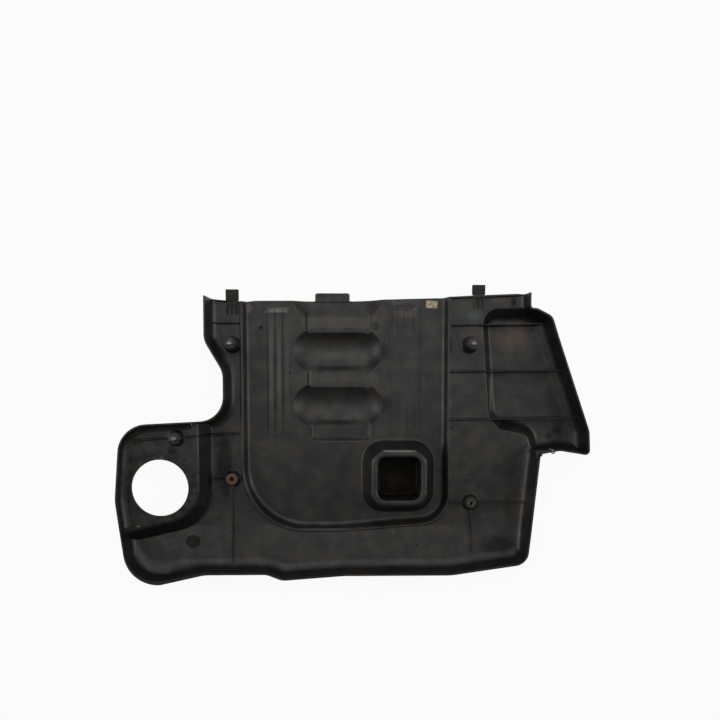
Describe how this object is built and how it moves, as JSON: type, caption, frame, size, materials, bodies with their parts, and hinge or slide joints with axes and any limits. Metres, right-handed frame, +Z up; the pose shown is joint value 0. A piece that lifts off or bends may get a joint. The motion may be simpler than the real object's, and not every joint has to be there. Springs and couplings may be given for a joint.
{
  "type": "engine cover",
  "caption": "Black moulded plastic engine cover lying on its outer face, open inner side up, with a round opening, a square well, trough-shaped humps and cushioned mounting bosses.",
  "frame": {"origin": "centre of the bounding box at its lowest level, on the ground under the cover", "axes": "+X along the long side towards the wing, +Y towards the straight edge with the tongues, +Z up out of the open inner side"},
  "size_m": [0.7014, 0.4478, 0.082],
  "materials": {
    "black_plastic": "black moulded plastic with a slight sheen, brown dust, oil marks and small scratches",
    "rubber": "dull black rubber",
    "steel": "plain zinc-coated steel, dulled",
    "rusty_steel": "steel with brown rust",
    "felt": "dark woven felt",
    "paper": "blank paper label, yellowed"
  },
  "bodies": {
    "root": {"cover_shell": "black_plastic", "bush_upper_left": "rubber", "bush_upper_right": "rubber", "bush_pan": "rubber", "bush_lower_left": "rubber", "bush_lower_right": "rubber", "sleeve_upper_left": "steel", "sleeve_upper_right": "steel", "sleeve_pan": "steel", "sleeve_lower_left": "rusty_steel", "sleeve_lower_right": "steel", "bolt_upper_left": "steel", "bolt_upper_right": "steel", "bolt_pan": "steel", "disc_upper_left": "steel", "disc_upper_right": "steel", "disc_pan": "steel", "disc_lower_left": "rusty_steel", "tongue_felt_left": "felt", "tongue_felt_right": "felt", "paper_label": "paper"}
  },
  "joints": []
}
